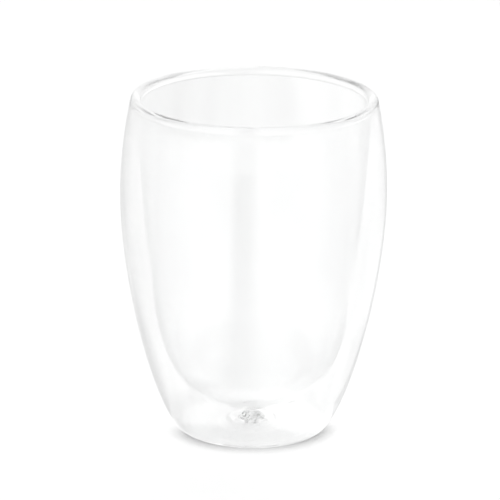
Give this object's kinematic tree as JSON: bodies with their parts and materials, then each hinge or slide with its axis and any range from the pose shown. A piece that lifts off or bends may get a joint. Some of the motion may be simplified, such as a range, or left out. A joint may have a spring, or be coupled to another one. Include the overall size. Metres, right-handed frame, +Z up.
{
  "type": "double walled glass cup",
  "caption": "Clear double walled tumbler: bulging outer cup, narrower round-bottomed inner cup, thick rounded rim, foot ring and plugged vent in the base.",
  "frame": {"origin": "middle of the ring that the cup stands on, at the height of the table", "axes": "+Z up along the cup's own axis, out of its mouth; the cup is round, so +X and +Y are free, and the picture looks along +Y"},
  "size_m": [0.0888, 0.0888, 0.115],
  "materials": {
    "outer_glass": "clear, fire polished",
    "inner_glass": "clear, fire polished",
    "seal": "clear silicone, slightly milky"
  },
  "bodies": {
    "root": {"outer_wall": "outer_glass", "inner_wall": "inner_glass", "vent_seal": "seal"}
  },
  "joints": []
}
